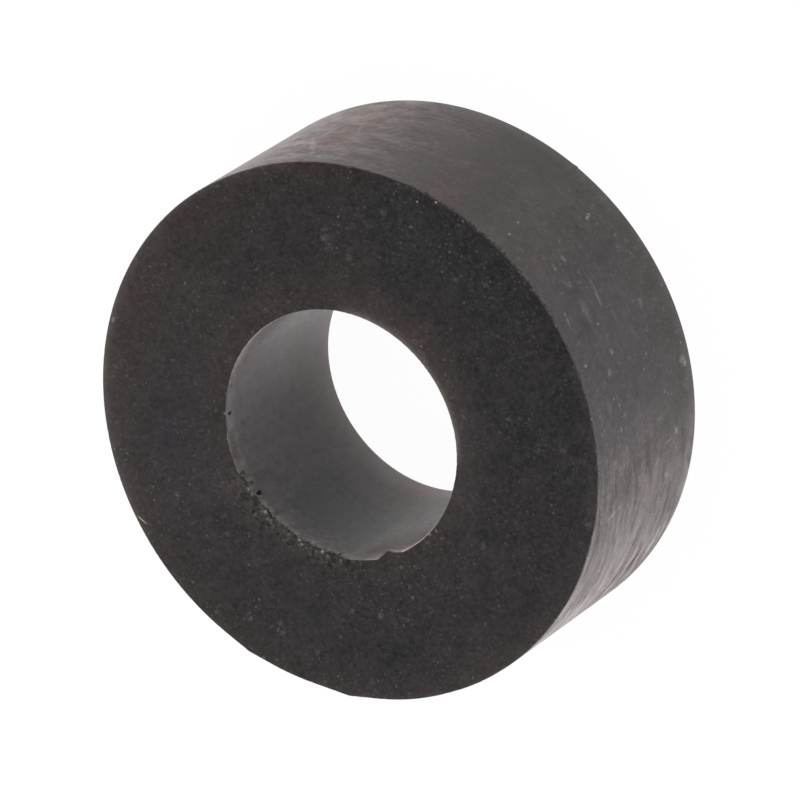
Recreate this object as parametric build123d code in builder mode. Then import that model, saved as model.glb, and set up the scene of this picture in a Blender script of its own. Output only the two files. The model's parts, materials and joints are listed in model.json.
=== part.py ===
from build123d import *
import os

# Rubber bushing: one thick solid ring with a plain bore that runs slightly off centre.
#
# Millimetres, +Z up. The ring stands on its lower end face. The origin lies on that face,
# on the axis of the outside, and the bore stands off from it along +X, so the wall is
# thinnest on the +X side.

# Driving dimensions
outer_diameter = 32.0
bore_diameter = 15.0
length = 11.8  # from end face to end face
bore_offset = 0.47  # how far the bore's axis stands off the axis of the outside
outer_rim_radius = 0.1  # the outside meets both end faces in nearly sharp rims
bore_rim_radius = 0.1  # so does the bore

# Worked out from them
thinnest_wall = (outer_diameter - bore_diameter) / 2 - bore_offset
rim_limit = 0.4 * min(thinnest_wall, length)  # two rounded rims must fit side by side
bore_axis = (bore_offset, 0)

os.makedirs("parts", exist_ok=True)

# One ring: the end face's outline with the off-centre hole in it, drawn up to its length
with BuildPart() as bushing:
    with BuildSketch(Plane.XY):
        Circle(outer_diameter / 2)
        with Locations(bore_axis):
            Circle(bore_diameter / 2, mode=Mode.SUBTRACT)
    extrude(amount=length)

    # The four rims are the circles; the bore's two are the smaller ones
    rims = bushing.edges().filter_by(GeomType.CIRCLE).group_by(SortBy.RADIUS)
    fillet(rims[-1], radius=min(outer_rim_radius, rim_limit))
    fillet(rims[0], radius=min(bore_rim_radius, rim_limit))

bushing.part.label = "bushing"
export_step(bushing.part, "parts/bushing.step")
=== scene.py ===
import json
import math
from types import SimpleNamespace

import bpy
import numpy as np
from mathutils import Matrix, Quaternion, Vector


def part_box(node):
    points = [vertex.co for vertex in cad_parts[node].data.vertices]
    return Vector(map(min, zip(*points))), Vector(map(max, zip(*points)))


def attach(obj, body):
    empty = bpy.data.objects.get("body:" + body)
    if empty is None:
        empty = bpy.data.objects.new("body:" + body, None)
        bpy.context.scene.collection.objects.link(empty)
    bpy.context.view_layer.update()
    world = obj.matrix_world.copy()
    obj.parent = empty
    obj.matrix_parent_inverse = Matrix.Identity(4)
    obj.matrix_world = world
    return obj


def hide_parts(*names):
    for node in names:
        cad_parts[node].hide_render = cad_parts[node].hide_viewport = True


# Rubber bushing: the looks of one solid rubber ring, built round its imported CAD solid.
#
# The ring's mesh is worked out ring by ring and column by column, with the flaws of the real
# one: two corners where the outside was trimmed, a ragged bore rim with a torn tab, a pale
# flared lip and a few pits. Its three finishes are the ground outside, the cut faces and the
# bore's moulded wall.
#
# Lengths are millimetres and angles are degrees until Blender needs them. A place on the ring
# is a turn about the axis, from +X towards +Y, with a depth below the upper face, or the same
# depth as a share of the length, called down. On the face, gap is the distance out from the
# bore's rim and edge is the distance in from the outer rim.

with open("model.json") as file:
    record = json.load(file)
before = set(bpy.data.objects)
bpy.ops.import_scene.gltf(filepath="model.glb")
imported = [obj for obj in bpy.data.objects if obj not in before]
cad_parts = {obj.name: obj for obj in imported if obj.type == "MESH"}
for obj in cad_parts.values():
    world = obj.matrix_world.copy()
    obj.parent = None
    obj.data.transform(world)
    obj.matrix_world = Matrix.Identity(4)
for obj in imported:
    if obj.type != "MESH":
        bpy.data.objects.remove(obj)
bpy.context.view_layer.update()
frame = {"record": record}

MM = 0.001

# The ring's sizes, from the frame
low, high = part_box("bushing")
bore_mount = next(m for m in frame["record"]["mounts"] if m["name"] == "bore")
OUTER = (high.x - low.x) / 2 / MM
LENGTH = (high.z - low.z) / MM
BORE = bore_mount["dims"]["r_mm"]
BORE_X = bore_mount["pos_m"][0] / MM
RIM = 0.045  # radius of the nearly sharp rims
SNUG = 0.05  # how much tighter than nominal the bore's wall is

# The three finishes, in the order of the mesh's materials
OUTSIDE, FACE, BORE_WALL = range(3)

# Corners left where the outside was trimmed: (turn, half the turn between the two flats)
TRIMS = ((61.4, 7.0), (37.4, 6.0))

# Arcs where the outside stands a little proud or low: (how far, start, end, softness)
SWELLS = ((0.05, 68, 74, 14), (0.03, -75, 42, 12), (-0.02, 100, 116, 8))

# Arcs where the nicks in the upper outer rim are deeper, and how deep they are elsewhere
NICKS = ((0.02, 168, 184, 8), (0.05, 211, 226, 5))
NICK_LEAST = 0.010
NICK_REACH = 0.12  # how far down the nicks reach

# A tooth left on the lower outer rim: (turn, half its width in degrees, height, how proud)
TOOTH = (210, 0.7, 0.8, 0.05)

# The torn tab on the bore's upper rim: how far it stands in at each turn
TAB = ((80.2, 0.0), (82.0, 0.11), (84.0, 0.23), (86.2, 0.33), (87.4, 0.31), (88.6, 0.22),
       (90.5, 0.10), (93.5, 0.0))

# Pits in the bore's wall: (turn, depth, across, along the bore, how deep)
PITS = ((11.6, 0.58, 0.09, 0.17, 0.16), (-27.0, 0.36, 0.07, 0.13, 0.12))

# How much darker the ground strip is at each share of the way down
GROUND_BANDS = ((0.1, 0.7), (0.25, 1.0), (0.5, -0.6), (0.75, 0.9), (0.92, 0.0))

# Arcs of the fine pale line along the face's outer rim: (strength, start, end, softness)
RIM_LINES = ((1.15, -102, 2, 8), (0.95, -48, -4, 10), (0.45, 8, 112, 6), (0.4, 106, 126, 8))


# ---------------------------------------------------------------------------------------------
# Shape


def ease(x):
    """0 up to 0, 1 from 1, and a smooth step between."""
    x = np.clip(x, 0, 1)
    return x * x * (3 - 2 * x)


def apart(turn, other):
    """How many degrees one turn lies from another, the short way round."""
    return np.abs((turn - other + 180) % 360 - 180)


def between(turn, start, end, soft):
    """1 on the arc from start to end, easing to 0 over soft degrees at each end."""
    return ease(1 - (apart(turn, (start + end) / 2) - (end - start) / 2) / soft)


def arcs(turn, listed):
    """Several soft arcs, each (amount, start, end, softness), added up."""
    return sum(amount * between(turn, start, end, soft) for amount, start, end, soft in listed)


def ragged(turn, pitch, seed):
    """Smooth random values from -1 to 1 round the ring, one every pitch degrees."""
    knots = np.random.default_rng(seed).uniform(-1, 1, round(360 / pitch))
    at = (turn % 360) / 360 * len(knots)
    left = np.floor(at).astype(int)
    part = ease(at - left)
    return knots[left % len(knots)] * (1 - part) + knots[(left + 1) % len(knots)] * part


def outer_radius(turn, depth):
    """The outside: trimmed corners, a gentle swell, the tooth at its foot and a nicked rim."""
    corners = sum(1 / np.cos(np.radians(np.clip(half - apart(turn, middle), 0, None))) - 1
                  for middle, half in TRIMS)
    fading = 1 - 0.6 * depth / LENGTH
    tooth_turn, half_width, height, proud = TOOTH
    above_foot = (LENGTH - depth) / height
    tooth = proud * ease(1 - apart(turn, tooth_turn) / half_width) * ease(1 - above_foot)
    nicks = (NICK_LEAST + arcs(turn, NICKS)) * ease(2.5 * ragged(turn, pitch=0.7, seed=21) - 1.0)
    nicks = nicks * ease(1 - depth / NICK_REACH)
    return OUTER + (corners * OUTER + arcs(turn, SWELLS)) * fading + tooth - nicks


def burr(turn):
    """How far the torn upper rim of the bore stands in over the bore."""
    rough = 0.07 + 0.05 * ragged(turn, pitch=1.5, seed=1) + 0.06 * ragged(turn, pitch=0.8, seed=2)
    uneven = 1 + 0.10 * ragged(turn, pitch=1.2, seed=3) + 0.08 * ragged(turn, pitch=0.6, seed=7)
    tab = np.interp(turn, *zip(*TAB)) * uneven
    fine = 0.010 * ragged(turn, pitch=0.8, seed=5)
    return rough * between(turn, 4, 60, soft=4) + tab + fine


def lip_depth(turn):
    """How deep the pale lip inside the bore's upper rim reaches."""
    return 0.95 + 0.5 * between(turn, 40, 90, soft=30) + 0.12 * ragged(turn, pitch=5, seed=6)


def bore_radius(turn, depth):
    """The bore's wall, with its torn upper rim, the flared lip below it and the pits."""
    torn = burr(turn) * ease(1 - (depth - 0.06) / 0.7)
    flare = 0.10 * between(turn, -16, 11, soft=5) * ease(1 - depth / 0.8)
    radius = BORE - SNUG - torn + flare
    for pit_turn, pit_depth, across, along, deep in PITS:
        sideways = np.radians(turn - pit_turn) * BORE / across
        lengthways = (depth - pit_depth) / along
        radius = radius + deep * np.exp(-sideways ** 2 - lengthways ** 2)
    return radius


def section():
    """The closed section of the ring, from the foot of the outside up, over the upper face,
    down the bore and back under the lower face.

    Each mesh ring is (finish, share of the way from outside to bore, inset from the outside,
    inset from the bore, depth). The rings are closest together at the upper rims."""
    arc = np.linspace(0, math.pi / 2, 5)[1:-1]
    cosines, sines = RIM * (1 - np.cos(arc)), RIM * (1 - np.sin(arc))
    up = [*np.linspace(LENGTH - RIM, 1.0, 11), 0.6, 0.35, 0.2, 0.14, 0.1, 0.07, RIM]
    rings = [(OUTSIDE, 0, 0, 0, depth) for depth in up]
    rings += [(OUTSIDE, 0, inset, 0, depth) for inset, depth in zip(cosines, sines)]
    inward = sorted([*(1 - (1 - np.linspace(0, 1, 30)) ** 1.7), 0.006, 0.014, 0.03])
    rings += [(FACE, share, RIM, RIM, 0) for share in inward]
    rings += [(BORE_WALL, 1, 0, inset, depth) for inset, depth in zip(sines, cosines)]
    near, far = 1.0, LENGTH - 1.3
    down = [*np.linspace(RIM, near, 15), *np.linspace(near, far, 12)[1:],
            *np.linspace(far, LENGTH - RIM, 7)[1:]]
    rings += [(BORE_WALL, 1, 0, 0, depth) for depth in down]
    rings += [(BORE_WALL, 1, 0, inset, LENGTH - rise) for inset, rise in zip(cosines, sines)]
    rings += [(FACE, share, RIM, RIM, LENGTH) for share in np.linspace(1, 0, 9)]
    rings += [(OUTSIDE, 0, inset, 0, LENGTH - rise) for inset, rise in zip(sines, cosines)]
    return np.array(rings)


def columns():
    """The mesh's turns: closer together on the side where the bore's rim is torn."""
    torn_start, torn_end = -80, 122
    fine = np.linspace(torn_start, torn_end, 560, endpoint=False)
    coarse = np.linspace(torn_end, torn_start + 360, 320, endpoint=False)
    return np.concatenate([fine, coarse])


def closed_quads(shape):
    """The quads of a grid of points whose rows and columns both run round and close."""
    index = np.arange(np.prod(shape)).reshape(shape)
    side = np.roll(index, -1, axis=1)
    quads = np.stack([index, side, np.roll(side, -1, axis=0), np.roll(index, -1, axis=0)], -1)
    return quads.reshape(-1, 4)


def torn_wall(turn, depth):
    """Where the bore's wall is torn rubber, and looks like the face: the ragged arc and the tab."""
    ragged_arc = depth < 0.05 + 0.12 * ragged(turn, pitch=0.9, seed=9)
    ragged_arc = ragged_arc & (between(turn, 0, 63, soft=1) > 0.5)
    tab = (depth < 0.09) & (between(turn, 81, 92, soft=1) > 0.5)
    return ragged_arc | tab


def ring_mesh(name):
    """The whole ring as one closed skin of quads, with the finishes' own masks on its points."""
    finish, share, outer_inset, bore_inset, depth = section().T[:, :, None]
    turn = columns()[None, :]
    outer = outer_radius(turn, depth) - outer_inset
    bore = bore_radius(turn, depth) + bore_inset
    across, up = np.cos(np.radians(turn)), np.sin(np.radians(turn))
    x = (1 - share) * outer * across + share * (BORE_X + bore * across)
    y = (1 - share) * outer * up + share * bore * up
    z = LENGTH - depth + 0 * x
    points = np.stack([x, y, z], -1).reshape(-1, 3)

    mesh = bpy.data.meshes.new(name)
    mesh.from_pydata((points * MM).tolist(), [], closed_quads(x.shape).tolist())
    like_face = (finish == BORE_WALL) & torn_wall(turn, depth)
    material = np.where(like_face, FACE, finish).astype(int)
    mesh.polygons.foreach_set("material_index", material.ravel())
    mesh.polygons.foreach_set("use_smooth", np.ones(len(mesh.polygons), bool))
    for mask, values in masks(finish, share, turn, depth, x, y).items():
        values = np.broadcast_to(values, x.shape)
        mesh.attributes.new(mask, "FLOAT", "POINT").data.foreach_set("value", values.ravel())
    mesh.update()
    return mesh


# ---------------------------------------------------------------------------------------------
# Masks: where on the ring each of the finishes' patterns shows, and how strongly


def masks(finish, share, turn, depth, x, y):
    """All the masks by name.

    The first mask makes each finish lighter or darker, place by place, and carries painted light:
    a painted highlight on the ground strip, a painted light falloff across the face, and light
    painted at both ends and round the sides of the bore. Brink is the band along the outer rim,
    ground is the strip where the grinding left streaks and where a paler grey is painted as the
    light on that side, lined is where its fine lines are clear, worn is the scuffed arc, teeth are
    dark teeth below the upper rim, limb is the greyer painted sheen at the far end of the pink
    painted sheen, and dull is where the gloss is less. Mauve, rosy, warm and amber are shifts of
    hue, and matt is the rougher arc of the bore."""
    down = depth / LENGTH
    gap = np.hypot(x - BORE_X, y) - BORE
    edge = OUTER - np.hypot(x, y)
    upper = (depth < 0.5) & (finish != OUTSIDE)
    tones_and_light = [outside_tone_and_light(turn, depth), face_tone_and_light(x, gap, edge, turn, depth)]
    return {
        # Each finish made lighter or darker place by place, with painted light in it
        "tone_and_light": np.select([finish == OUTSIDE, finish == FACE], tones_and_light, bore_tone_and_light(turn, depth)),
        # On the outside
        "brink": ease(1 - (np.abs(edge) + depth) / 0.4),
        # The ground strip: real grinding streaks, and where a paler grey is painted as the light on
        # that side
        "ground": between(turn, 60, 140, soft=26),
        "lined": between(turn, 124, 150, soft=10) * ease((7.5 - depth) / 4),
        "worn": between(turn, 150, 198, soft=22),
        "mauve": between(turn, 157, 192, soft=8) * ease(2.4 - 2.4 * down),
        "teeth": between(turn, 187, 227, soft=3) * ease(1 - depth / 0.5),
        "rosy": between(turn, 222, 252, soft=9),
        # A painted pink sheen on two arcs of the outside, and at its foot
        "painted_sheen": painted_sheen_strength(turn, down),
        # A greyer painted sheen at the far end of the pink one
        "limb": between(turn, 268, 320, soft=9) * between(turn, 240, 282, soft=36),
        "dull": between(turn, 245, 292, soft=58)
        + 1.3 * between(turn, 95, 118, soft=6) * ease((down - 0.35) / 0.4),
        # On the face and the rims
        "warm": warm_strength(turn, gap, edge),
        "crumbs": crumbs_strength(turn, depth, gap) * upper,
        "grains": grains_strength(turn, depth, gap) * upper,
        # In the bore
        "lip": ease(1.2 - depth / lip_depth(turn)) * lip_strength(turn, depth) * (share == 1),
        # A greyer bloom, which is also the grey of the bore's painted light
        "frost_and_light": frost_and_light_strength(turn, depth),
        "amber": 0.4 * between(turn, 50, 118, soft=9)
        + 0.6 * between(turn, 40, 64, soft=9) * ease((depth - 1.0) / 1.2) * ease((9.0 - depth) / 2.0),
        "matt": between(turn, 76, 130, soft=14),
    }


def painted_sheen_strength(turn, down):
    """The wide pink sheen, painted on, which clears towards its far end, and a thin one beside the
    trims.
    """
    wide = between(turn, 256, 330, soft=44) * between(turn, 200, 280, soft=40)
    cleared = 1 - 0.9 * between(turn, 272, 330, soft=9)
    thin = between(turn, 95, 119, soft=12) * (0.5 + 0.2 * ease((down - 0.6) / 0.3))
    foot = 0.4 * between(turn, 119, 130, soft=4) * ease((down - 0.6) / 0.2)
    return wide * cleared + thin + foot


def warm_strength(turn, gap, edge):
    """Browner round the bore and along most of the outer rim, but not right at either rim."""
    bore_reach = 1.7 + between(turn, 180, 275, soft=20)
    round_bore = ease(1.2 - gap / bore_reach) * (1 - 0.6 * np.exp(-np.abs(gap) / 0.25))
    rim_reach = (1.6 + 1.2 * between(turn, -95, 28, soft=12)
                 + 1.2 * between(turn, -60, -30, soft=15))
    along_rim = ease(1.2 - edge / rim_reach) * (1 - 0.7 * np.exp(-np.abs(edge) / 0.35))
    side = 0.4 * between(turn, -118, -45, soft=20)
    return round_bore + along_rim * between(turn, -120, 118, soft=14) + side


def crumbs_strength(turn, depth, gap):
    """The crumbly band beside the bore's torn rim."""
    reach = 1.3 + 0.6 * between(turn, 0, 20, soft=15)
    return ease(1 - (np.abs(gap) + depth) / reach) * between(turn, 0, 66, soft=10)


def grains_strength(turn, depth, gap):
    """Pale grains of grit on and beside the bore's upper rim."""
    total = 0
    for grain_turn, grain_gap, size, strength in RIM_GRAINS:
        sideways = np.radians(apart(turn, grain_turn)) * BORE
        square = sideways ** 2 + (gap - grain_gap) ** 2 + depth ** 2
        total = total + strength * np.exp(-square / size ** 2)
    return total


def lip_strength(turn, depth):
    """How pale the lip is: strongest on the flare, weaker at both its ends, and off the very
    edge where the rim is torn."""
    torn = between(turn, 2, 62, soft=4) * ease(1 - depth / 0.18)
    flared = 1 + 0.55 * between(turn, -14, 14, soft=10) - 0.45 * between(turn, 52, 80, soft=8)
    left = 1 - 0.6 * between(turn, -95, -38, soft=12)
    return between(turn, -95, 110, soft=15) * flared * left * (1 - torn)


def frost_and_light_strength(turn, depth):
    """The bore's greyer bloom, which is also the grey of its painted light: towards its lower end, and
    below two arcs of the upper rim.
    """
    lower_end = np.clip((depth / LENGTH - 0.6) / 0.4, 0, 1)
    left = 1.1 * between(turn, -84, -52, soft=9) * np.exp(-depth / 1.2)
    right = 0.6 * between(turn, 62, 118, soft=9) * np.exp(-depth / 1.5)
    return lower_end + left + right


def outside_tone_and_light(turn, depth):
    """Paler along the upper edge and where the ground strip shines, which is a painted highlight,
    and darker towards the foot, in the bands across the strip, and before and at the near end of
    the painted pink sheen."""
    down = depth / LENGTH
    brink = 0.20 * between(turn, 60, 200, soft=30) * ease(1 - depth / 0.5)
    # A painted highlight where the ground strip shines
    shine = 0.8 * between(turn, 131, 143, soft=6) * ease(1 - np.abs(down - 0.52) / 0.3)
    above = 0.7 * between(turn, 122, 131, soft=6) * ease((0.75 - down) / 0.3)
    bands = between(turn, 95, 117, soft=6) * np.interp(down, *zip(*GROUND_BANDS))
    before_sheen = 0.6 * between(turn, 218, 240, soft=12)
    in_sheen = between(turn, 243, 260, soft=6) * (0.1 + 0.3 * ease((0.35 - down) / 0.2))
    return brink + shine + above - 0.3 * down - bands - before_sheen - in_sheen


def face_tone_and_light(x, gap, edge, turn, depth):
    """Paler round the bore, on the torn edge, in fine lines along the rims, and a little towards +X,
    which is painted light falling off across the face."""
    torn = 0.6 * ease((depth - 0.01) / 0.03) * (depth < 1) * between(turn, 2, 90, soft=2)
    round_bore = (0.22 + 0.35 * between(turn, 140, 230, soft=25)
                  - 0.20 * between(turn, 70, 110, soft=15)) * ease(1.1 - gap / 2.6)
    along_rim = (0.12 * between(turn, -75, 15, soft=25)
                 + 0.2 * between(turn, 70, 140, soft=20)) * ease(1 - edge / 2.4)
    rim_line = arcs(turn, RIM_LINES) * np.exp(-edge / 0.25)
    bore_line = 5.0 * between(turn, 158, 232, soft=14) * np.exp(-(gap + SNUG) / 0.17) * (depth == 0)
    worn_edge = 0.45 * between(turn, 146, 172, soft=8) * ease(1 - edge / 1.2)
    far_edge = 0.15 * between(turn, 165, 210, soft=20) * ease(1 - edge / 3)
    sides = (0.22 * between(turn, -62, 0, soft=15) * ease((gap - 0.6) / 0.8)
             + 0.1 * between(turn, 92, 118, soft=12))
    lines = along_rim + rim_line + bore_line + worn_edge
    # 0.010 * x is painted light, lighter towards +X
    return 0.010 * x + torn + round_bore + lines - far_edge + sides


def bore_tone_and_light(turn, depth):
    """Paler at both ends, round the sides and below most of the upper rim, which is painted light:
    light coming in at both ends, a grazing sheen round the sides and a reflection below the rim.
    Darker in a patch and a line below its torn arc."""
    down = depth / LENGTH
    # Painted sheen round the sides
    side = 1.4 * np.clip((apart(turn, 21.5) - 33.5) / 50, 0, 1) ** 1.3
    # Painted light below the upper rim
    front = (0.3 + 0.7 * side) * np.exp(-depth / 0.6)
    # Painted light coming in at the lower end
    lower_end = (4.4 * np.clip((down - 0.60) / 0.38, 0, 1.05) ** 1.8
                 + 3.5 * np.clip((down - 0.84) / 0.14, 0, 1) ** 1.5)
    foot = (1.8 * between(turn, 36, 80, soft=10) * ease((down - 0.84) / 0.08)
            + 1.2 * between(turn, -56, -40, soft=10) * ease((down - 0.72) / 0.1))
    middle = (1.4 * between(turn, -62, -32, soft=16) * ease((down - 0.3) / 0.3)
              + 0.2 * between(turn, -32, 0, soft=10))
    pale_side = (2.4 * between(turn, -84, -58, soft=9) * ease((0.62 - down) / 0.5)
                 * (1 - 0.6 * np.exp(-depth / 0.5)))
    below_rim = (2.4 * between(turn, 84, 115, soft=14) * ease(1.3 - depth / 3.5)
                 + 2.0 * between(turn, -75, -50, soft=10) * np.exp(-depth / 0.9)
                 + 1.4 * between(turn, 84, 96, soft=6) * np.exp(-depth)
                 + 1.5 * between(turn, 66, 80, soft=6) * np.exp(-depth)
                 - 0.3 * between(turn, 38, 62, soft=10) * ease((0.5 - down) / 0.3))
    dark_patch = (0.8 * between(turn, 26, 58, soft=12)
                  * ease((down - 0.12) / 0.1) * ease((0.68 - down) / 0.1))
    dark_line = 0.6 * between(turn, 4, 32, soft=8) * np.exp(-((depth - 0.55) / 0.35) ** 2)
    return side + front + lower_end + foot + middle + pale_side + below_rim - dark_patch - dark_line


# ---------------------------------------------------------------------------------------------
# Places for the marks in the finishes, as points in millimetres


def on_outside(turn, depth):
    return at(turn, OUTER, depth)


def on_bore(turn, depth):
    return at(turn, BORE, depth) + Vector((BORE_X, 0, 0))


def at(turn, radius, depth):
    angle = math.radians(turn)
    return Vector((radius * math.cos(angle), radius * math.sin(angle), LENGTH - depth))


# ---------------------------------------------------------------------------------------------
# Finishes


class Finish:
    """A material's nodes, with a short call for each kind used here. A value given to a call
    is a number, a colour or another node's output. Patterns are laid out in millimetres."""

    def __init__(self, name):
        self.material = bpy.data.materials.new(name)
        self.material.use_nodes = True
        self.tree = self.material.node_tree
        self.shader = self.tree.nodes["Principled BSDF"]
        metres = self.node("ShaderNodeTexCoord").outputs["Object"]
        self.place = self.stretch(metres, 1 / MM, 1 / MM, 1 / MM)

    def node(self, kind, **settings):
        made = self.tree.nodes.new(kind)
        for setting, value in settings.items():
            setattr(made, setting, value)
        return made

    def feed(self, socket, value):
        if isinstance(value, bpy.types.NodeSocket):
            self.tree.links.new(value, socket)
        else:
            socket.default_value = value

    def math(self, operation, *values):
        made = self.node("ShaderNodeMath", operation=operation)
        for socket, value in zip(made.inputs, values):
            self.feed(socket, value)
        return made.outputs[0]

    def total(self, *values):
        """The sum of several values."""
        result = values[0]
        for value in values[1:]:
            result = self.math("ADD", result, value)
        return result

    def times(self, *values):
        """The product of several values."""
        result = values[0]
        for value in values[1:]:
            result = self.math("MULTIPLY", result, value)
        return result

    def swing(self, value, amount):
        """A 0 to 1 pattern turned into a change of up to half the amount either way."""
        return self.math("MULTIPLY_ADD", value, amount, -amount / 2)

    def ramp(self, value, start, end, low=0.0, high=1.0):
        """A smooth step from low to high while the value goes from start to end."""
        made = self.node("ShaderNodeMapRange", interpolation_type="SMOOTHSTEP")
        for socket, given in zip(made.inputs, (value, start, end, low, high)):
            self.feed(socket, given)
        return made.outputs[0]

    def stretch(self, place, x, y, z):
        made = self.node("ShaderNodeVectorMath", operation="MULTIPLY")
        self.feed(made.inputs[0], place)
        made.inputs[1].default_value = (x, y, z)
        return made.outputs[0]

    def shift(self, place, by):
        """A place moved by an offset, or one colour added to another."""
        made = self.node("ShaderNodeVectorMath", operation="ADD")
        self.feed(made.inputs[0], place)
        self.feed(made.inputs[1], by)
        return made.outputs[0]

    def tint(self, colour, by):
        """A colour made lighter or darker by a value."""
        made = self.node("ShaderNodeVectorMath", operation="SCALE")
        self.feed(made.inputs[0], colour)
        self.feed(made.inputs["Scale"], by)
        return made.outputs[0]

    def blend(self, share, first, second):
        made = self.node("ShaderNodeMix", data_type="RGBA")
        for socket, value in ((0, share), (6, first), (7, second)):
            self.feed(made.inputs[socket], value)
        return made.outputs[2]

    def along(self, place, turn, slant, length, width):
        """The place measured in streak lengths and widths. The streaks run round the ring, and
        rise by the slant at the given turn."""
        made = self.node("ShaderNodeMapping", vector_type="TEXTURE")
        self.feed(made.inputs["Vector"], place)
        made.inputs["Rotation"].default_value = (math.radians(slant), 0, math.radians(turn))
        made.inputs["Scale"].default_value = (length, length, width)
        return made.outputs[0]

    def noise(self, place, per_mm, detail=3.0, roughness=0.6):
        made = self.node("ShaderNodeTexNoise")
        self.feed(made.inputs["Vector"], place)
        made.inputs["Scale"].default_value = per_mm
        made.inputs["Detail"].default_value = detail
        made.inputs["Roughness"].default_value = roughness
        return made.outputs[0]

    def specks(self, place, pitch, radius, share):
        """Round specks in random cells, from 0 beside them to 1 on the strongest."""
        made = self.node("ShaderNodeTexVoronoi")
        self.feed(made.inputs["Vector"], place)
        made.inputs["Scale"].default_value = 1 / pitch
        chance = self.node("ShaderNodeSeparateColor")
        self.feed(chance.inputs[0], made.outputs["Color"])
        size = self.math("MULTIPLY_ADD", chance.outputs[1], radius / pitch, radius / pitch / 2)
        nearness = self.math("DIVIDE", made.outputs["Distance"], size)
        speck = self.ramp(nearness, 1.0, 0.3)
        return self.times(speck, self.ramp(chance.outputs[0], 1 - share, 1.0))

    def mark(self, place, centre, turn, across, along, slant, depth=0.3):
        """One soft-edged mark on a wall: across is its size round the ring and along is its
        size in line with the axis."""
        made = self.node("ShaderNodeMapping", vector_type="TEXTURE")
        self.feed(made.inputs["Vector"], place)
        made.inputs["Location"].default_value = centre
        made.inputs["Rotation"].default_value = (math.radians(slant), 0, math.radians(turn))
        made.inputs["Scale"].default_value = (depth, across, along)
        length = self.node("ShaderNodeVectorMath", operation="LENGTH")
        self.feed(length.inputs[0], made.outputs[0])
        return self.ramp(length.outputs["Value"], 1.0, 0.35)

    def marks(self, place, where, listed):
        """Several marks, each (turn, depth, across, along, slant, strength), as one."""
        found = [self.times(self.mark(place, where(turn, off), turn, across, along, slant), much)
                 for turn, off, across, along, slant, much in listed]
        return self.total(*found)

    def mask(self, name):
        """A mask that the mesh carries on its points."""
        return self.node("ShaderNodeAttribute", attribute_name=name).outputs["Fac"]

    def finish(self, colour, roughness, height, specular):
        """Join the patterns to the shader. Height is in millimetres."""
        self.feed(self.shader.inputs["Base Color"], colour)
        self.feed(self.shader.inputs["Roughness"], roughness)
        self.shader.inputs["Specular IOR Level"].default_value = specular
        bump = self.node("ShaderNodeBump")
        bump.inputs["Distance"].default_value = MM
        self.feed(bump.inputs["Height"], height)
        self.tree.links.new(bump.outputs["Normal"], self.shader.inputs["Normal"])
        return self.material


# Marks on the outside: (turn, depth, size round the ring, size along it, slant, strength)
PALE_SCUFFS = (
    (180.2, 11.3, 0.13, 0.14, 0, 2.4),
    (164.0, 11.0, 0.46, 0.42, 0, 1.4),
    (164.3, 10.8, 0.32, 0.30, 0, 3.0),
    (163.3, 11.2, 0.22, 0.24, 0, 2.4),
    (180.7, 3.8, 0.10, 0.11, 0, 2.4),
    (188.5, 5.2, 1.3, 0.10, 2, 0.5),
    (184.8, 5.0, 0.7, 0.16, -4, 0.8),
    (185.0, 1.3, 0.7, 0.09, -14, 0.6),
    (199.7, 8.8, 0.14, 0.45, 10, 0.5),
    (193.7, 9.8, 0.10, 0.11, 0, 1.6),
    (206.6, 3.4, 0.12, 0.14, 0, 1.3),
    (195.3, 4.3, 0.32, 0.22, 20, 1.0),
    (195.0, 3.0, 0.34, 0.22, -20, 0.8),
    (184.3, 3.3, 1.00, 0.55, -10, 0.35),
    (197.5, 8.2, 0.60, 0.40, 0, 0.3),
    (179.5, 8.6, 0.40, 0.30, 0, 0.4),
    (163.7, 3.25, 0.30, 0.08, 0, 1.0),
    (158.9, 3.0, 0.22, 0.20, 0, 0.7),
    (165.2, 2.2, 0.60, 0.35, 0, 0.3),
    (174.4, 4.0, 0.26, 0.24, 0, 0.9),
    (171.0, 3.1, 0.24, 0.34, 30, 0.7),
    (175.0, 1.0, 0.12, 0.30, 0, 1.2),
    (169.9, 7.3, 0.11, 0.11, 0, 1.2),
    (165.7, 2.8, 0.10, 0.12, 0, 2.2),
    (234.2, 5.6, 0.11, 0.16, 0, 1.8),
    (150.9, 9.5, 0.34, 0.19, 30, 3.0),
    (149.7, 8.5, 0.06, 0.75, 9, 0.8),
    (141.6, 2.3, 0.14, 1.3, 15, 0.9),
)
# Wide soft strokes of painted sheen across the wide pink sheen, listed the same way
PAINTED_SHEEN_STROKES = (
    (255.7, 3.3, 0.28, 2.7, 30, 1.6),
    (257.0, 5.9, 0.25, 1.3, -6, 1.5),
    (263.4, 8.0, 0.22, 2.3, 20, 1.0),
    (260.0, 4.2, 0.95, 0.16, -21, 1.3),
    (251.2, 6.7, 0.16, 2.0, 21, 0.9),
    (259.5, 5.0, 1.00, 0.9, 0, 0.5),
    (268.5, 6.5, 1.1, 0.16, 24, 1.0),
)
# Dark streaks left by the grinding, listed the same way
DARK_STREAKS = (
    (122.5, 3.1, 2.1, 0.10, 10, 1.0),
    (118.0, 8.7, 2.0, 0.30, 10, 0.8),
    (128.5, 8.2, 2.0, 0.22, 8, 0.6),
    (162.4, 9.0, 0.30, 0.07, 40, 0.7),
    (149.3, 8.6, 0.07, 0.70, 9, 0.8),
    (127.5, 2.6, 1.1, 0.08, 13, 0.7),
    (120.5, 8.9, 2.4, 0.13, 13, 0.9),
    (131.0, 6.6, 1.8, 0.09, 11, 0.7),
    (138.5, 5.0, 1.5, 0.10, 8, 0.5),
    (114.0, 5.4, 1.3, 0.09, 12, 0.6),
    (141.0, 8.2, 2.0, 0.10, 7, 0.5),
)
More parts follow.
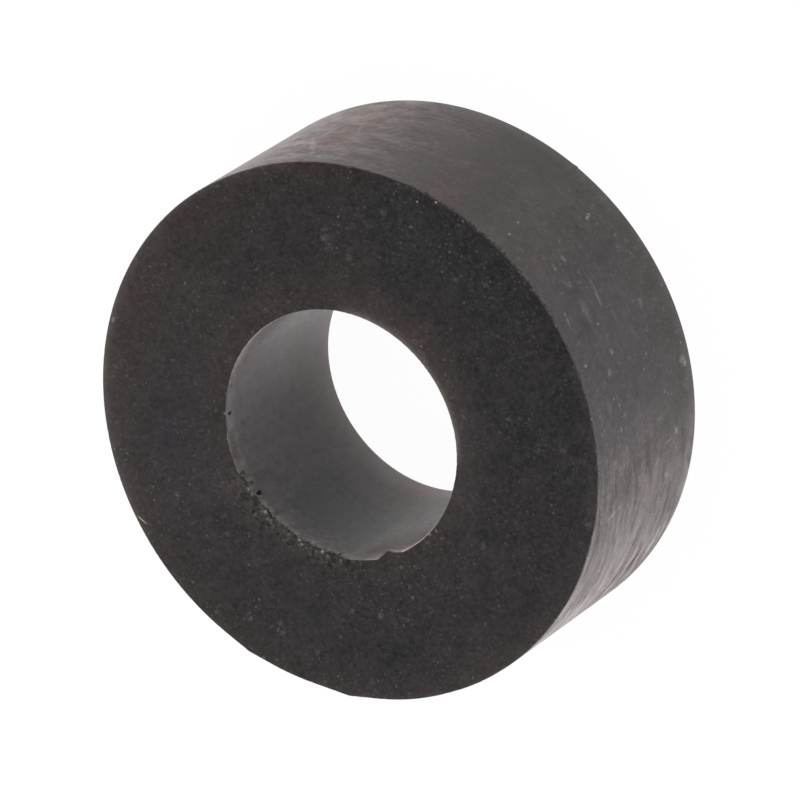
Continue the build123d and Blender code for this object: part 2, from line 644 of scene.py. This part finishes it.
# Grains on and beside the bore's upper rim: (turn, gap out from the rim, size, strength)
RIM_GRAINS = (
    (-71.0, 0.15, 0.07, 0.3),
    (-28.0, 0.02, 0.07, 0.7),
    (-2.2, -0.02, 0.08, 0.9),
    (6.5, -0.04, 0.07, 0.8),
    (7.8, 0.00, 0.07, 0.8),
    (10.4, -0.08, 0.09, 1.0),
    (17.8, 0.60, 0.07, 0.3),
    (20.0, -0.02, 0.09, 1.0),
    (22.7, 0.20, 0.07, 0.6),
    (24.4, 0.10, 0.07, 0.5),
    (39.8, -0.12, 0.12, 1.0),
    (41.5, 0.10, 0.08, 0.7),
    (51.8, -0.08, 0.09, 1.4),
    (54.7, 0.12, 0.09, 0.4),
    (61.0, 0.16, 0.08, 0.4),
    (110.6, 0.00, 0.08, 0.7),
    (114.4, 0.16, 0.06, 0.6),
)
# Spots on the bore's wall, the second and third painted shade in its two pits: (turn, depth,
# size round the bore, size along it, slant, strength)
BORE_SPOTS_AND_PIT_SHADE = (
    (62.5, 10.57, 0.13, 0.20, 0, 0.8),
    (11.6, 0.62, 0.15, 0.27, 0, 2.0),
    (-27.0, 0.40, 0.10, 0.18, 25, 2.0),
    (-29.1, 10.5, 0.12, 0.6, 0, 0.25),
    (-59.1, 4.2, 0.14, 0.5, 0, 0.3),
    (22.2, 2.8, 0.10, 0.12, 0, -1.2),
)
# Pale chips and grains on the face, near its outer rim: (turn, radius, half across, half along,
# slant, strength)
FACE_CHIPS = (
    (-43.5, 15.79, 0.13, 0.27, 0, 1.6),
    (1.4, 15.74, 0.08, 0.34, 25, 3.0),
    (2.4, 15.60, 0.07, 0.26, 25, 2.4),
    (220.1, 15.93, 0.10, 0.10, 0, 4.0),
    (213.4, 15.88, 0.07, 0.07, 0, 2.0),
    (224.0, 15.36, 0.08, 0.08, 0, 3.0),
)

# Colours, in linear light
OUTSIDE_WARM = (0.0256, 0.0211, 0.0190, 1)
OUTSIDE_MAUVE = (0.0256, 0.0211, 0.0244, 1)
OUTSIDE_ROSY = (0.0352, 0.0205, 0.0176, 1)
# A paler grey for the ground strip: partly the grinding, partly painted light on that side
GROUND_GREY_AND_LIGHT = (0.073, 0.0585, 0.0577, 1)
# The painted pink sheen's colours, the greyer painted sheen at its far end, and the pale colour added
# for its strokes
PAINTED_SHEEN_PINK = (0.0950, 0.0505, 0.0470, 1)
PAINTED_SHEEN_ROSY = (0.1150, 0.0455, 0.0415, 1)
PAINTED_LIMB_SHEEN = (0.128, 0.107, 0.105, 1)
PAINTED_SHEEN_STROKE = (0.062, 0.0595, 0.0590)  # added, so with no alpha
SCUFF = (0.16, 0.15, 0.145, 1)
TEETH = (0.0200, 0.0165, 0.0145, 1)
SHEEN_TINT = (1.0, 0.6, 0.55, 1)
GLOSS_TINT = (1.0, 0.93, 0.935, 1)
FACE_WARM = (0.0280, 0.0225, 0.0211, 1)
FACE_COOL = (0.0240, 0.0214, 0.0236, 1)
CRUMBS = (0.0272, 0.0233, 0.0208, 1)
FACE_SPECK = (0.130, 0.126, 0.114, 1)
CHIP = (0.34, 0.29, 0.24, 1)
GRAIN = (0.34, 0.33, 0.29, 1)
BORE_WARM = (0.0405, 0.0300, 0.0287, 1)
BORE_MAUVE = (0.0390, 0.0300, 0.0335, 1)
BORE_AMBER = (0.0600, 0.0285, 0.0255, 1)
BORE_FROST_AND_LIGHT = (0.0354, 0.0322, 0.0318, 1)
LIP = (0.0900, 0.0800, 0.0775, 1)


def outside_patterns(m):
    """The patterns and masks that the outside's colour, gloss and height share."""
    bend = m.shift(m.place, m.swing(m.noise(m.place, per_mm=0.6, detail=2), 0.8))
    rings = m.along(bend, turn=0, slant=0, length=5.0, width=0.16)
    lines = m.along(bend, turn=0, slant=0, length=3.2, width=0.085)
    streaks = m.along(bend, turn=125, slant=11, length=2.8, width=0.46)
    hatch = m.along(bend, turn=255, slant=-24, length=2.6, width=0.9)
    cross = m.along(bend, turn=256, slant=62, length=1.8, width=0.22)
    return SimpleNamespace(
        rings=m.noise(rings, 1.0, detail=2, roughness=0.75),
        lines=m.noise(lines, 1.0, detail=1),
        streaks=m.noise(streaks, 1.0, detail=2, roughness=0.55),
        hatch=m.noise(hatch, 1.0, detail=3, roughness=0.6),
        cross=m.noise(cross, 1.0, detail=2, roughness=0.6),
        patches=m.noise(m.place, per_mm=0.35, detail=3),
        grain=m.noise(m.place, per_mm=2.4, detail=3, roughness=0.75),
        dark=m.marks(m.place, on_outside, DARK_STREAKS),
        ground=m.mask("ground"),
        painted_sheen=m.mask("painted_sheen"),
        worn=m.mask("worn"),
        lined=m.mask("lined"),
    )


def outside_colour(m, p):
    """The outside's colour: nearly black, greyer where it was ground, with a paler grey painted as
    the light on that side, and a painted pink sheen that turns greyer at its far end.
    """
    drift = m.noise(m.shift(m.place, (5, 0, 0)), per_mm=0.3, detail=3, roughness=0.6)
    hue = m.ramp(m.total(m.mask("mauve"), m.swing(drift, 1.4)), 0.1, 0.9)
    rosy = m.mask("rosy")
    base = m.blend(rosy, m.blend(hue, OUTSIDE_WARM, OUTSIDE_MAUVE), OUTSIDE_ROSY)
    ground = m.times(p.ground, m.ramp(p.patches, 0.3, 0.65, 0.4, 1.0))
    # Paler grey, partly the grinding and partly painted light on that side
    greyed_and_lit = m.blend(ground, base, GROUND_GREY_AND_LIGHT)
    # A painted pink sheen
    with_painted_sheen = m.blend(m.times(p.painted_sheen, 0.85), greyed_and_lit, m.blend(rosy, PAINTED_SHEEN_PINK, PAINTED_SHEEN_ROSY))
    # The greyer painted sheen at the far end of the pink one
    return m.blend(m.mask("limb"), with_painted_sheen, PAINTED_LIMB_SHEEN)


def outside_scuffs(m, p):
    """The pale scuffs, small specks all over, and chips along the upper rim."""
    broken = m.ramp(m.noise(m.place, per_mm=3.0, detail=2, roughness=0.7), 0.30, 0.56, 0.30, 1.0)
    gathered = m.ramp(m.noise(m.place, per_mm=0.4, detail=2), 0.42, 0.65, 0.4, 1.6)
    scuffs = m.times(m.marks(m.place, on_outside, PALE_SCUFFS), broken)
    specks = m.specks(m.place, pitch=0.6, radius=0.09, share=0.5)
    chips = m.specks(m.place, pitch=0.22, radius=0.08, share=0.5)
    return m.total(scuffs, m.times(specks, gathered, m.total(0.5, p.worn)),
                   m.times(m.mask("brink"), chips))


def outside_value(m, p):
    """How light or dark the outside's colour is made, place by place, with painted light in it."""
    mottle = m.noise(m.shift(m.place, (2, 0, 4)), per_mm=0.9, detail=2)
    smudges = m.noise(m.shift(m.place, (0, 8, 0)), per_mm=1.7, detail=3, roughness=0.8)
    flecks = m.noise(m.shift(m.place, (0, 0, 6)), per_mm=5.0, detail=2, roughness=0.8)
    wear = m.total(m.times(m.ramp(smudges, 0.55, 0.80), 2.6), m.times(m.ramp(flecks, 0.54, 0.80), 2.0))
    value = m.total(0.93, m.mask("tone_and_light"), m.swing(p.patches, 2.0), m.swing(p.grain, 1.8),
                    m.times(m.swing(mottle, 1.6), p.worn),
                    m.times(wear, m.total(0.4, p.worn)),
                    m.times(m.swing(p.streaks, 2.6), p.ground),
                    m.times(m.swing(p.lines, 4.5), p.lined),
                    m.times(m.swing(p.rings, 3.0), m.total(0.15, m.times(p.ground, 0.4))),
                    m.times(p.dark, -0.6))
    return m.math("MAXIMUM", value, 0.15)


def painted_sheen_strokes(m, p):
    """Painted sheen: the fine brushed strokes that make up the pink sheen, and the few wide ones
    across it, added as pale colour.
    """
    cloud = m.total(m.times(p.hatch, 0.5), m.times(p.rings, 0.5), m.swing(p.patches, 0.8))
    brushed = m.total(m.swing(p.hatch, 1.8), m.swing(cloud, 1.6), m.swing(p.cross, 3.6),
                      m.swing(p.lines, 2.6), m.swing(p.rings, 3.2))
    strokes = m.total(m.times(brushed, m.ramp(p.painted_sheen, 0.3, 1.0)),
                      m.marks(m.place, on_outside, PAINTED_SHEEN_STROKES))
    return m.math("MAXIMUM", strokes, -0.3)


def outside_roughness(m, p, teeth):
    """Satin: duller where the pink sheen is painted, and uneven along the ground streaks."""
    return m.total(0.27, m.times(m.mask("dull"), 0.09), m.swing(p.patches, 0.1),
                   m.times(m.swing(p.streaks, -0.7), p.ground), m.times(p.dark, 0.15),
                   m.times(m.swing(p.hatch, -0.5), p.painted_sheen), m.swing(p.grain, -0.15),
                   m.times(teeth, 0.5))


def outside_height(m, p):
    """The grinding's lines and streaks, in millimetres."""
    return m.total(m.times(p.rings, 0.018, m.total(0.1, m.times(p.ground, 0.3), p.painted_sheen)),
                   m.times(p.streaks, 0.024, p.ground), m.times(p.dark, -0.008),
                   m.times(p.lines, 0.005, m.total(p.painted_sheen, p.lined)))


def ground_outside():
    """The outside: satin rubber, ground round and round, with a painted pink sheen, a paler grey
    painted as the light on one side, small scuffs and dark teeth in its upper rim."""
    m = Finish("ground_outside")
    p = outside_patterns(m)
    colour = m.blend(m.times(outside_scuffs(m, p), 0.9), outside_colour(m, p), SCUFF)
    colour = m.tint(colour, outside_value(m, p))
    # Strokes of painted sheen, added as pale colour
    colour = m.shift(colour, m.tint(PAINTED_SHEEN_STROKE, painted_sheen_strokes(m, p)))
    jagged = m.swing(m.noise(m.place, per_mm=6.0, detail=1), 3.4)
    teeth = m.ramp(m.total(m.mask("teeth"), jagged), 0.75, 0.95)
    colour = m.blend(teeth, colour, TEETH)
    m.shader.inputs["Sheen Weight"].default_value = 0.12
    m.shader.inputs["Sheen Roughness"].default_value = 0.4
    m.shader.inputs["Sheen Tint"].default_value = SHEEN_TINT
    m.shader.inputs["Specular Tint"].default_value = GLOSS_TINT
    return m.finish(colour, outside_roughness(m, p, teeth), outside_height(m, p), specular=0.42)


def face_value(m, crumbs, gathered, clouds, grain):
    """How light or dark the face's colour is made, place by place, with painted light in it and
    painted shade in tiny pits.
    """
    patches = m.noise(m.place, per_mm=0.9, detail=3, roughness=0.7)
    rubble = m.noise(m.shift(m.place, (3, 0, 0)), per_mm=3.6, detail=2, roughness=0.8)
    flecks = m.ramp(m.noise(m.shift(m.place, (0, 0, 3)), per_mm=5.0, detail=1), 0.56, 0.86)
    dots = m.specks(m.shift(m.place, (1, 1, 0.3)), pitch=0.34, radius=0.07, share=0.6)
    blobs = m.specks(m.shift(m.place, (6, 3, 0.5)), pitch=0.85, radius=0.24, share=0.7)
    blobs = m.times(blobs, m.ramp(grain, 0.35, 0.65, 0, 1.8))
    pale = m.total(m.times(flecks, 1.6), m.times(dots, 2.2), m.times(blobs, 0.9))
    # Dark specks of painted shade in tiny pits
    hole_shade = m.specks(m.shift(m.place, (4, 4, 0.2)), pitch=0.3, radius=0.15, share=0.8)
    value = m.total(0.80, m.mask("tone_and_light"), m.swing(clouds, 0.3), m.swing(patches, 1.1),
                    m.swing(grain, 2.1), m.times(m.swing(rubble, 5.0), crumbs),
                    m.times(pale, gathered), m.times(crumbs, 0.1),
                    m.times(hole_shade, m.total(crumbs, 0.25), -0.8))
    return m.math("MAXIMUM", value, 0.2)


def face_specks(m, crumbs, gathered):
    """Pale specks: gathered in clouds on the face, thick in the crumbs, and along the rim."""
    strewn = m.specks(m.place, pitch=0.55, radius=0.11, share=0.5)
    crumbled = m.specks(m.shift(m.place, (7, 2, 0.4)), pitch=0.25, radius=0.11, share=0.9)
    chipped = m.specks(m.place, pitch=0.22, radius=0.08, share=0.4)
    return m.total(m.times(strewn, gathered), m.times(crumbled, crumbs, 1.1),
                   m.times(m.mask("brink"), chipped, 1.2))


def cut_face():
    """The faces: matt and nearly black, cut through a mix of fine pale and dark grains."""
    m = Finish("cut_face")
    clouds = m.noise(m.place, per_mm=0.22, detail=3)
    grain = m.noise(m.place, per_mm=3.2, detail=3, roughness=0.8)
    crumbs = m.mask("crumbs")
    gathered = m.noise(m.shift(m.place, (9, 0, 0)), per_mm=0.45, detail=2)
    gathered = m.ramp(gathered, 0.35, 0.65, 0.35, 1.6)
    chips = [m.times(m.mark(m.place, at(turn, radius, 0), turn + slant, along, 0.3, 0, across), much)
             for turn, radius, across, along, slant, much in FACE_CHIPS]
    warm = m.ramp(m.total(m.mask("warm"), m.swing(clouds, 1.6)), -0.2, 1.1)
    colour = m.blend(crumbs, m.blend(warm, FACE_COOL, FACE_WARM), CRUMBS)
    colour = m.tint(colour, face_value(m, crumbs, gathered, clouds, grain))
    colour = m.blend(m.times(face_specks(m, crumbs, gathered), 0.4), colour, FACE_SPECK)
    colour = m.blend(m.times(m.total(*chips), 0.25), colour, CHIP)
    colour = m.blend(m.times(m.mask("grains"), 0.8), colour, GRAIN)
    height = m.total(m.times(grain, 0.014), m.times(m.mask("grains"), 0.04))
    return m.finish(colour, 0.82, height, specular=0.3)


def bore_wall():
    """The bore: smoother than the faces, with a pale lip at the front, a greyer far end, and
    painted light that makes both ends and the sides paler.
    """
    m = Finish("bore_wall")
    streaks = m.noise(m.stretch(m.place, 1.8, 1.8, 0.3), 1.0, detail=2)
    blotches = m.noise(m.place, per_mm=0.9, detail=3, roughness=0.65)
    grain = m.noise(m.place, per_mm=2.2, detail=3, roughness=0.7)
    drift = m.noise(m.shift(m.place, (5, 0, 0)), per_mm=0.3, detail=3, roughness=0.6)
    base = m.blend(m.ramp(drift, 0.38, 0.62), BORE_WARM, BORE_MAUVE)
    base = m.blend(m.mask("amber"), base, BORE_AMBER)
    # Greyer bloom, and the grey of the painted light at the lower end and below the rim
    frosted_and_lit = m.blend(m.times(m.mask("frost_and_light"), 0.8), base, BORE_FROST_AND_LIGHT)
    colour = m.blend(m.mask("lip"), frosted_and_lit, LIP)
    # Dark spots, two of them painted shade in the pits
    spots_and_pit_shade = m.marks(m.place, on_bore, BORE_SPOTS_AND_PIT_SHADE)
    # Dark specks of painted shade in tiny pits among the crumbs
    hole_shade = m.specks(m.shift(m.place, (7, 2, 0.4)), pitch=0.26, radius=0.13, share=0.8)
    value = m.total(1.0, m.mask("tone_and_light"), m.swing(streaks, 1.6), m.swing(blotches, 2.0),
                    m.swing(grain, 3.0), m.times(spots_and_pit_shade, -0.6),
                    m.times(hole_shade, m.mask("crumbs"), -1.0))
    colour = m.tint(colour, m.math("MAXIMUM", value, 0.1))
    colour = m.blend(m.times(m.mask("grains"), 0.8), colour, GRAIN)
    roughness = m.total(0.31, m.times(m.mask("matt"), 0.05), m.swing(blotches, 0.15),
                        m.swing(grain, -0.2))
    return m.finish(colour, roughness, m.times(grain, 0.006), specular=0.4)


# ---------------------------------------------------------------------------------------------
# The ring


ring = bpy.data.objects.new("bushing_rubber", ring_mesh("bushing_rubber"))
bpy.context.scene.collection.objects.link(ring)
for material in (ground_outside(), cut_face(), bore_wall()):
    ring.data.materials.append(material)
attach(ring, "root")
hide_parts("bushing")


# ---------------------------------------------------------------------------------------------
# Floor, light and camera

FLOOR_WIDTH = 6  # in metres
FLOOR_GREY = (0.8, 0.8, 0.8, 1)
FLOOR_GLOW = 1.03  # bright enough to show white
FLOOR_SHARE = 0.93  # how much of the glow a camera ray sees, and the rest is shadow
WHITE = (1, 1, 1, 1)


def floor_finish():
    """Plain pale floor that shows nearly white to the camera, in gloss and through clear things,
    and still keeps a share of the object's shadow."""
    m = bpy.data.materials.new("pale_floor")
    m.use_nodes = True
    tree = m.node_tree
    tree.nodes.clear()
    rays = tree.nodes.new("ShaderNodeLightPath")
    seen = rays.outputs["Is Camera Ray"]
    for ray in ("Is Glossy Ray", "Is Transmission Ray"):
        either = tree.nodes.new("ShaderNodeMath")
        either.operation = "MAXIMUM"
        tree.links.new(seen, either.inputs[0])
        tree.links.new(rays.outputs[ray], either.inputs[1])
        seen = either.outputs[0]
    share = tree.nodes.new("ShaderNodeMath")
    share.operation = "MULTIPLY"
    share.inputs[1].default_value = FLOOR_SHARE
    tree.links.new(seen, share.inputs[0])
    lit = tree.nodes.new("ShaderNodeBsdfDiffuse")
    lit.inputs["Color"].default_value = FLOOR_GREY
    white = tree.nodes.new("ShaderNodeEmission")
    white.inputs["Strength"].default_value = FLOOR_GLOW
    mix = tree.nodes.new("ShaderNodeMixShader")
    tree.links.new(share.outputs[0], mix.inputs[0])
    tree.links.new(lit.outputs[0], mix.inputs[1])
    tree.links.new(white.outputs[0], mix.inputs[2])
    out = tree.nodes.new("ShaderNodeOutputMaterial")
    tree.links.new(mix.outputs[0], out.inputs["Surface"])
    return m


bpy.ops.mesh.primitive_plane_add(size=FLOOR_WIDTH)
floor = bpy.context.object
floor.name = "floor"
floor.data.materials.append(floor_finish())

world = bpy.data.worlds.new("studio")
bpy.context.scene.world = world
world.use_nodes = True
world.node_tree.nodes["Background"].inputs["Color"].default_value = WHITE
world.node_tree.nodes["Background"].inputs["Strength"].default_value = 1.0

# The camera looks down at the ring from far off, and is rolled as the photograph is
AZIMUTH, ELEVATION, ROLL = (math.radians(a) for a in (-169.80, 54.44, -123.45))
DISTANCE = 474.4
AIM = Vector((-0.094, 0.090, LENGTH / 2 - 0.049))
camera = bpy.data.cameras.new("camera")
camera.lens = 375
camera.sensor_width = 36
camera.clip_end = 10
eye = bpy.data.objects.new("camera", camera)
bpy.context.scene.collection.objects.link(eye)
level = math.cos(ELEVATION)
towards = Vector((level * math.cos(AZIMUTH), level * math.sin(AZIMUTH), math.sin(ELEVATION)))
eye.location = (AIM + towards * DISTANCE) * MM
eye.rotation_mode = "QUATERNION"
eye.rotation_quaternion = towards.to_track_quat("Z", "Y") @ Quaternion((0, 0, 1), ROLL)
bpy.context.scene.camera = eye
bpy.context.scene.view_settings.view_transform = "Standard"
